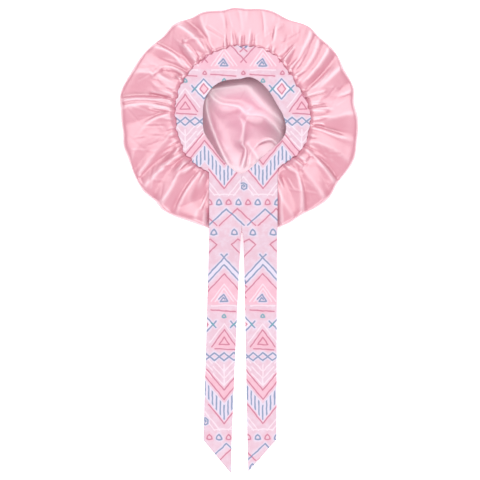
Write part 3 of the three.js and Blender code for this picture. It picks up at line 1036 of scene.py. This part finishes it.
    def top(self) -> tuple[list[np.ndarray], list[np.ndarray]]:
        """The rings over the top, from the gathered edge to the rim.

        Returns:
            The rings in millimetres, and how sharply the cloth bends along each.
        """
        angle = np.arange(self.around) * 360 / self.around
        way = np.linspace(0, 1, self.top_rings)
        reach = 1 - (1 - way) ** 1.3
        a, t = np.meshgrid(angle, reach)
        gathered, rim = self.seam.at(a) - self.allowance, self.rim.at(a)
        radius = gathered + (rim - gathered) * t
        x, y = radius * np.cos(np.radians(a)), radius * np.sin(np.radians(a))
        press = self.pressed(x, y)
        leaning = self.section.at(t) - self.lean * np.sin(np.radians(a)) * ease(t, 0.25, 0.95)
        height = leaning * (1 - press) + self.under_ties.at(t) * press
        folds = np.array([self.fold_heights(angle, float(r)) for r in reach])
        for axis in (1, 1, 0):
            folds = self.softened(folds, axis)
        strength = (0.12 + 0.88 * ease(t, 0.1, 0.3)) * (1 - 0.85 * ease(t, 0.93, 1.0))
        detail = sum(w.over(x, y) for w in LOOPS_AND_DENTS) + self.slight_wrinkles(x, y)
        detail = detail * (1 - ease(t, 0.86, 0.98)) * ease(t, 0.1, 0.2)
        fold = folds * strength + detail + self.gather_heights(angle, reach)
        height = height + fold * (1 - 0.88 * press) - 0.5 * press * ease(t, 0.1, 0.4)
        # How sharply each ring bends, which the satin turns into painted highlights on crests and painted
        # shade in valleys.
        sides = np.roll(height, self.bend_reach, 1) + np.roll(height, -self.bend_reach, 1)
        sharp = np.clip((height - sides / 2) / self.full_bend, -1, 1) * (1 - press)
        sharp = sharp * ease(t, 0.12, 0.2) * (1 - ease(t, 0.9, 1.0))
        return [self.ring(angle, radius[i], height[i]) for i in range(self.top_rings)], list(sharp)

    def underside(self) -> tuple[list[np.ndarray], list[np.ndarray]]:
        """The rings that turn in under the rim.

        Returns:
            The rings with the full count of points, then the rest.
        """
        shares = np.linspace(0.994, 0.86, self.under_rings + self.skirt_rings)
        under, skirt = [], []
        for i, share in enumerate(shares):
            rings, count = (under, self.around) if i < self.under_rings else (skirt, self.around_middle)
            angle = np.arange(count) * 360 / count
            level = np.full_like(angle, self.under.at(share))
            rings.append(self.ring(angle, self.rim.at(angle) * share, level))
        return under, skirt

    def floor(self) -> tuple[list[np.ndarray], list[np.ndarray]]:
        """The rings of the floor, from under the ring to the middle.

        Returns:
            The rings in millimetres, and how sharply the cloth bends along each.
        """
        angle = np.arange(self.around_middle) * 360 / self.around_middle
        outer = np.linspace(0.83, 0.55, self.outer_floor_rings)
        inner = np.linspace(0.53, 0.0, self.floor_rings - self.outer_floor_rings)
        floor, bend, step = [], [], self.floor_probe
        sides = [(step, 0), (-step, 0), (0, step), (0, -step)]
        for share in np.concatenate([outer, inner]):
            radius = self.rim.at(angle) * share
            x, y = radius * np.cos(np.radians(angle)), radius * np.sin(np.radians(angle))
            level = self.floor_height(x, y)
            around = sum(self.floor_height(x + dx, y + dy) for dx, dy in sides) / 4
            floor.append(self.ring(angle, radius, level))
            # How sharply the floor bends, for the satin's painted highlights on its ridges and painted
            # shade between them.
            sharp = np.clip((level - around) / self.full_floor_bend, -1, 1)
            bend.append(sharp * (1 - ease(np.hypot(x, y), 70, 90)))
        return floor, bend

    @staticmethod
    def softened(heights: np.ndarray, axis: int) -> np.ndarray:
        """Eases each height a little towards its neighbours.

        Args:
            heights: a row for each ring.
            axis: 1 along the rings and 0 from ring to ring.

        Returns:
            The softened heights.
        """
        if axis == 1:
            return heights * 0.5 + np.roll(heights, 1, 1) * 0.25 + np.roll(heights, -1, 1) * 0.25
        padded = np.concatenate([heights[:1], heights, heights[-1:]])
        return padded[1:-1] * 0.5 + padded[:-2] * 0.25 + padded[2:] * 0.25

    @staticmethod
    def ring(angle: np.ndarray, radius: np.ndarray, height: np.ndarray) -> np.ndarray:
        """Points at angles in degrees, radii and heights."""
        turned = np.radians(angle)
        return np.stack([radius * np.cos(turned), radius * np.sin(turned), height], axis=1)

    def floor_height(self, x: np.ndarray, y: np.ndarray) -> np.ndarray:
        """Height of the crown's middle above the table, in millimetres.

        The ridges stand on a broad swell. All of it fades out under the ring, and above the knee it is
        eased off, so that it stays below the space for the head.

        Args:
            x: the points' x in millimetres.
            y: their y in millimetres.

        Returns:
            The heights of the cloth's underside.
        """
        away = np.hypot(x, np.where(y < 0, y * 0.78, y))
        shown = 1 - ease(away, 60, 84)
        ridges = np.stack([r.over(x, y) for r in self.rumples])
        height = (ridges**4).sum(axis=0) ** (1 / 4)
        u, v = x / 60, (y + 10) / 70
        swell = 3.0 * u - 7.0 * v - 2.4 * u * u + 2.8 * v * v + 3.9 * np.sin(3 * v) - 0.5 * np.sin(3 * u)
        front = ease(-x, 15, 62) * ease(-y, -55, -20) * ease(y, -70, -35)
        swell += 5.5 * front + 3.0 * ease(y, 20, 66)
        crease = sum(r.over(x, y) for r in self.creases)
        level = self.table_gap + shown * (height + swell + crease + self.floor_rise)
        soft = self.floor_limit - self.floor_knee
        over = np.maximum(level - self.floor_knee, 0)
        return np.clip(level, self.lowest_floor, self.floor_knee) + soft * np.tanh(over / soft)

    def faces(self, rings: list[np.ndarray], full: int) -> list[tuple[int, ...]]:
        """The faces between rings, facing outward.

        Args:
            rings: the rings of points.
            full: how many of them have the full count of points.

        Returns:
            The vertices of each face.
        """
        starts = np.cumsum([0] + [len(r) for r in rings])
        n, m = self.around, self.around_middle
        faces: list[tuple[int, ...]] = []
        for i in range(full - 1):
            faces += self.quads(int(starts[i]), int(starts[i + 1]), n)
        a, b, step = int(starts[full - 1]), int(starts[full]), n // m
        for k in range(m):
            fan = [a + (step * k + i) % n for i in range(step + 1)]
            inner, following = b + k, b + (k + 1) % m
            faces += [(fan[i], inner, fan[i + 1]) for i in range(step - 1)]
            faces.append((fan[step - 1], inner, following, fan[step]))
        for i in range(full, len(rings) - 2):
            faces += self.quads(int(starts[i]), int(starts[i + 1]), m)
        last, middle = int(starts[len(rings) - 2]), int(starts[len(rings) - 1])
        faces += [(last + j, middle, last + (j + 1) % m) for j in range(m)]
        return faces

    @staticmethod
    def quads(first: int, second: int, count: int) -> list[tuple[int, ...]]:
        """The faces between two rings of count points each, from their first vertices."""
        pairs = [(j, (j + 1) % count) for j in range(count)]
        return [(first + j, second + j, second + k, first + k) for j, k in pairs]

    def build(self, finish: Satin) -> bpy.types.Object:
        """Builds the crown.

        Args:
            finish: the satin it is made of.

        Returns:
            The finished piece.
        """
        rings, full, bend = self.points()
        points = np.concatenate(rings[:-1] + [rings[-1][:1]]) * MM
        piece = mesh_object("crown_satin", points, self.faces(rings, full))
        apply_modifier(piece, "SOLIDIFY", thickness=self.cloth * MM, offset=-1.0, use_even_offset=False)
        piece.data.shade_smooth()
        self.mark_wrong_side_and_painted_light(piece, len(points))
        # The bend mark, which the satin turns into painted highlights and painted shade.
        self.mark(piece, "bend", np.tile(np.concatenate(bend[:-1] + [bend[-1][:1]]), 2))
        piece.data.materials.append(finish.material())
        return piece

    def mark_wrong_side_and_painted_light(self, piece: bpy.types.Object, outer: int) -> None:
        """Marks the cloth's wrong side: all the points that Solidify added after the outer ones.

        Painted light on it grows from the middle towards the band, against the shade that the band casts
        into the opening, and that share is stored as near_band.

        Args:
            piece: the crown, once it is thick.
            outer: how many points it had before.
        """
        mesh = piece.data
        inside = (np.arange(len(mesh.vertices)) >= outer).astype(np.float32)
        place = np.empty(len(mesh.vertices) * 3, dtype=np.float32)
        mesh.vertices.foreach_get("co", place)
        away = np.hypot(place[0::3], place[1::3] + self.painted_light_middle) / MM
        self.mark(piece, "wrong_side_and_painted_light", inside)
        # near_band carries painted light that grows towards the band, against the band's shade in the
        # opening.
        self.mark(piece, "near_band", inside * ease(away, self.painted_light_from, self.painted_light_to))

    @staticmethod
    def mark(piece: bpy.types.Object, name: str, values: np.ndarray) -> None:
        """Stores one number for each point of a piece, for its finish to read by name."""
        mark = piece.data.attributes.new(name, "FLOAT", "POINT")
        mark.data.foreach_set("value", values.astype(np.float32))


# The tie band


@dataclass(frozen=True)
class Tie:
    """One tie's outline from above, in millimetres, and its slanting cut."""

    outer: Curve
    inner: Curve
    tip: float
    cut: float


@dataclass
class TieBand:
    """The printed strip: once flat round the opening, then out over the ring and along the table."""

    seam: Curve
    free: Curve
    left: Tie
    right: Tie
    way: Curve
    thickness: float = 1.8
    seam_height: float = 44.6
    free_height: float = 41.3
    round_steps: int = 520
    bend_steps: int = 90
    flat_steps: int = 90
    across: int = 30
    puckers_round: int = 110
    pucker_sideways: float = 1.4
    pucker_upward: float = 0.5
    sewn_from: float = 239.9
    sewn_to: float = -52.5
    front_point: float = -82.5
    flat_from: float = -236.0
    hem: float = 1.2
    seed: int = 11

    def band_edges(self) -> tuple[np.ndarray, np.ndarray]:
        """The strip's edges round the opening, from the left tie to the right one.

        Returns:
            The inner and the outer edge in millimetres.
        """
        way = np.linspace(0, 1, self.round_steps + 1)
        sewn = self.sewn_from + (self.sewn_to - self.sewn_from) * way
        free = 270 - 360 * way
        ends = ease(np.abs(2 * way - 1), 0.7, 1.0)
        height = self.free_height + (self.seam_height - self.free_height) * ends
        inner = Crown.ring(free, self.free.at(free), height)
        inner[:, 0] += (2.2 + 0.5 * way) * ends
        pull = self.puckers(sewn) * (1 - ease(np.abs(2 * way - 1), 0.93, 1.0))
        radius = self.seam.at(sewn) + self.pucker_sideways * pull
        outer = Crown.ring(sewn, radius, self.seam_height + self.pucker_upward * pull)
        return inner, outer

    def puckers(self, angle: np.ndarray) -> np.ndarray:
        """How the gathers push the sewn edge in and out, from a fixed seed.

        Args:
            angle: where, in degrees.

        Returns:
            The push, about 1 each way.
        """
        pick = np.random.default_rng(self.seed)
        count = self.puckers_round
        place = np.arange(count) * 360 / count + pick.uniform(-1.0, 1.0, count)
        push = np.where(np.arange(count) % 2 == 0, 1.0, -1.0) * pick.uniform(0.3, 1.0, count)
        broad = 0.5 * np.sin(np.radians(angle) * 19 + 1.3) + 0.4 * np.sin(np.radians(angle) * 31)
        return np.interp(angle, place, push, period=360.0) + broad

    def tie_edges(self, tie: Tie) -> tuple[np.ndarray, np.ndarray]:
        """A tie's edges, from the opening's front point to its tip.

        Args:
            tie: the left or the right one.

        Returns:
            The inner and the outer edge in millimetres.
        """
        bend = np.linspace(self.front_point, self.flat_from, self.bend_steps)[:-1]
        share = np.linspace(0, 1, self.flat_steps)
        edges = []
        for edge, end in ((tie.inner, tie.tip), (tie.outer, tie.cut)):
            y = np.concatenate([bend, self.flat_from + (-end - self.flat_from) * share])
            edges.append(np.stack([edge.at(-y), y, np.maximum(self.way.at(-y), 0.05)], axis=1))
        return edges[0], edges[1]

    def lie(self, x: np.ndarray, y: np.ndarray) -> np.ndarray:
        """The slight waves in which the flat ties lie on the table.

        Args:
            x: the points' x in millimetres.
            y: their y in millimetres.

        Returns:
            The heights in millimetres.
        """
        flat = ease(-y, 190, 250)
        long_wave = 0.5 + 0.5 * np.sin(y * 0.055 + x * 0.02 + 0.6 * np.sin(x * 0.045))
        short_wave = np.sin(y * 0.16 + 0.5 * np.sin(x * 0.09)) * 0.16
        return flat * (0.55 * long_wave + short_wave + 0.16)

    def build(self, finish: PrintedCloth) -> bpy.types.Object:
        """Builds the strip as a closed, soft-edged double layer.

        Args:
            finish: the cloth it is made of.

        Returns:
            The finished piece.
        """
        left, right = self.tie_edges(self.left), self.tie_edges(self.right)
        band = self.band_edges()
        inner = np.concatenate([left[0][::-1], band[0], right[0]])
        outer = np.concatenate([left[1][::-1], band[1], right[1]])
        share = np.linspace(0, 1, self.across)
        share = 0.5 - 0.5 * np.cos(np.pi * share) * (0.35 + 0.65 * np.abs(np.cos(np.pi * share)) ** 0.3)
        middle = inner[:, None] + (outer - inner)[:, None] * share[None, :, None]
        width = np.linalg.norm(outer - inner, axis=1)[:, None]
        # Where the two ties lie edge to edge, their inner edges aren't rounded off.
        joined = ease(-inner[:, 1], 76, 84) * (1 - ease(-inner[:, 1], 150, 172))
        free_edge = share[None, :] * width + 3.0 * joined[:, None]
        from_edge = np.minimum(free_edge, (1 - share[None, :]) * width)
        round_off = np.clip(from_edge / self.hem, 0.02, 1)
        half = self.thickness / 2 * np.sqrt(round_off * (2 - round_off))
        middle[..., 2] += self.lie(middle[..., 0], middle[..., 1])
        top, low = middle.copy(), middle.copy()
        top[..., 2] += self.thickness / 2 + half
        low[..., 2] += self.thickness / 2 - half
        loop = np.concatenate([low, top[:, ::-1]], axis=1)
        count, ring = loop.shape[:2]
        faces: list[tuple[int, ...]] = []
        for i in range(count - 1):
            a, b = i * ring, (i + 1) * ring
            faces += [(a + j, a + (j + 1) % ring, b + (j + 1) % ring, b + j) for j in range(ring)]
        faces.append(tuple(range(ring))[::-1])
        faces.append(tuple((count - 1) * ring + j for j in range(ring)))
        piece = mesh_object("tie_band_cloth", loop.reshape(-1, 3) * MM, faces)
        piece.data.materials.append(finish.material())
        return piece


# The studio


@dataclass(frozen=True)
class Lamp:
    """An oblong soft light, with its place, the point it faces and its size in metres, and its watts."""

    name: str
    at: tuple[float, float, float]
    to: tuple[float, float, float]
    size: tuple[float, float]
    power: float

    def build(self) -> None:
        """Adds the light to the scene."""
        light = bpy.data.lights.new(self.name, "AREA")
        light.shape, light.energy = "RECTANGLE", self.power
        light.size, light.size_y = self.size
        lamp = bpy.data.objects.new(self.name, light)
        lamp.location = self.at
        lamp.visible_camera = False
        direction = mathutils.Vector([b - a for a, b in zip(self.at, self.to)])
        lamp.rotation_mode = "QUATERNION"
        lamp.rotation_quaternion = direction.to_track_quat("-Z", "Y")
        bpy.context.scene.collection.objects.link(lamp)


@dataclass
class Studio:
    """A plain pale floor, soft light and a camera straight above, all in metres."""

    height: float = 8.0
    view: float = 0.696
    middle: tuple[float, float] = (0.0, -0.176)
    sensor: float = 36.0
    focus_height: float = 0.03
    lamps: tuple[Lamp, ...] = (
        Lamp("softbox", (-0.03, 1.2, 2.7), (0, -0.1, 0), (3.75, 3.75), 98),
        Lamp("low_softbox", (0.1, -2.4, 1.4), (0, -0.2, 0), (2.4, 1.0), 36),
    )

    def build(self) -> None:
        """Builds the floor, the lights and the camera."""
        bpy.ops.object.select_all(action="DESELECT")
        bpy.ops.mesh.primitive_plane_add(size=12, location=(0, 0, -0.0004))
        floor = bpy.context.active_object
        floor.name = "table_top"
        white = Shader("table_white").finish(
            Base_Color=(0.93, 0.93, 0.93),
            Roughness=0.9,
            Emission_Color=(1.0, 1.0, 1.0, 1.0),
            Emission_Strength=0.5,
        )
        floor.data.materials.append(white)
        world = bpy.data.worlds.new("soft_room")
        world.use_nodes = True
        background = world.node_tree.nodes["Background"]
        background.inputs["Color"].default_value = (1.0, 0.99, 0.995, 1)
        background.inputs["Strength"].default_value = 0.3
        bpy.context.scene.world = world
        for lamp in self.lamps:
            lamp.build()
        self.camera()
        view = bpy.context.scene.view_settings
        view.view_transform = "Standard"
        view.look = "None"
        view.exposure = 0.0

    def camera(self) -> None:
        """Adds the camera, looking straight down with the ties towards the picture's foot."""
        data = bpy.data.cameras.new("camera")
        data.sensor_width = self.sensor
        data.lens = self.sensor * (self.height - self.focus_height) / self.view
        camera = bpy.data.objects.new("camera", data)
        camera.location = (*self.middle, self.height)
        bpy.context.scene.collection.objects.link(camera)
        bpy.context.scene.camera = camera


# Outlines round the middle, as angles in degrees and distances in millimetres

RIM = Curve(
    (
        (0, 172.0), (8, 167.6), (15, 171.4), (25, 167.8), (36, 169.1), (46, 165.7), (53, 167.6),
        (64, 161.0), (75, 163.9), (86, 160.7), (93, 162.1), (99, 160.2), (109, 164.6), (116, 163.1),
        (125, 168.1), (133, 163.9), (143, 168.2), (157, 172.6), (168, 177.9), (176, 174.4), (187, 171.7),
        (193, 174.1), (200, 172.4), (216, 175.7), (224, 172.0), (230, 173.9), (246, 165.7), (270, 166.0),
        (295, 167.6), (303, 166.2), (318, 173.3), (327, 169.9), (340, 176.2), (349, 173.6),
    ),
    360.0,
)
SEAM = Curve(
    (
        (-60, 92.0), (-50, 91.0), (-38, 94.0), (-27, 100.0), (-14, 101.0), (0, 101.5), (11, 101.0),
        (23, 96.5), (37, 95.5), (51, 100.0), (68, 105.5), (88, 105.0), (101, 104.0), (122, 101.0),
        (140, 99.0), (163, 96.5), (178, 93.5), (201, 92.5), (213, 94.0), (226, 92.0), (240, 90.0),
        (270, 94.0),
    ),
    360.0,
)
FREE_EDGE = Curve(
    (
        (-90, 80.5), (-81, 74.0), (-65, 65.0), (-48, 63.0), (-24, 68.3), (-13, 68.3), (5, 62.0),
        (24, 56.7), (46, 57.9), (75, 61.5), (90, 57.3), (100, 57.4), (125, 60.2), (148, 58.3),
        (176, 53.8), (202, 55.4), (225, 56.1), (250, 67.7), (270, 80.5),
    )
)

# The ties: distance to the front, then x or height, in millimetres

LEFT_TIE = Tie(
    outer=Curve(((80, -45.0), (156, -44.6), (182, -45.2), (467, -53.4), (520, -54.5))),
    inner=Curve(((80, 2.2), (156, 2.3), (182, 0.4), (467, -12.0), (520, -12.6))),
    tip=516,
    cut=467,
)
RIGHT_TIE = Tie(
    outer=Curve(((80, 54.6), (156, 54.3), (182, 53.9), (466, 53.2), (520, 53.0))),
    inner=Curve(((80, 2.5), (156, 2.6), (182, 5.2), (466, 10.8), (520, 12.0))),
    tip=513,
    cut=466,
)
TIE_WAY = Curve(
    (
        (80, 44.9), (96, 47.1), (112, 47.8), (127, 47.3), (142, 45.3), (156, 39.6), (170, 30.0),
        (184, 19.4), (198, 10.4), (212, 4.0), (224, 1.0), (236, 0.0), (300, 0.0), (520, 0.0),
    )
)


def main() -> None:
    """Builds the bonnet, ties each piece to the frame and sets the studio."""
    logging.basicConfig(level=logging.INFO, format="%(message)s")
    crown = Crown(RIM, SEAM).build(Satin())
    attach(crown, "root")
    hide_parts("crown")
    band = TieBand(SEAM, FREE_EDGE, LEFT_TIE, RIGHT_TIE, TIE_WAY).build(PrintedCloth())
    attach(band, "root")
    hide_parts("tie_band")
    Studio().build()
    for piece in (crown, band):
        triangles = sum(len(p.vertices) - 2 for p in piece.data.polygons)
        LOG.info("%s: %d triangles", piece.name, triangles)


if __name__ == "__main__":
    main()
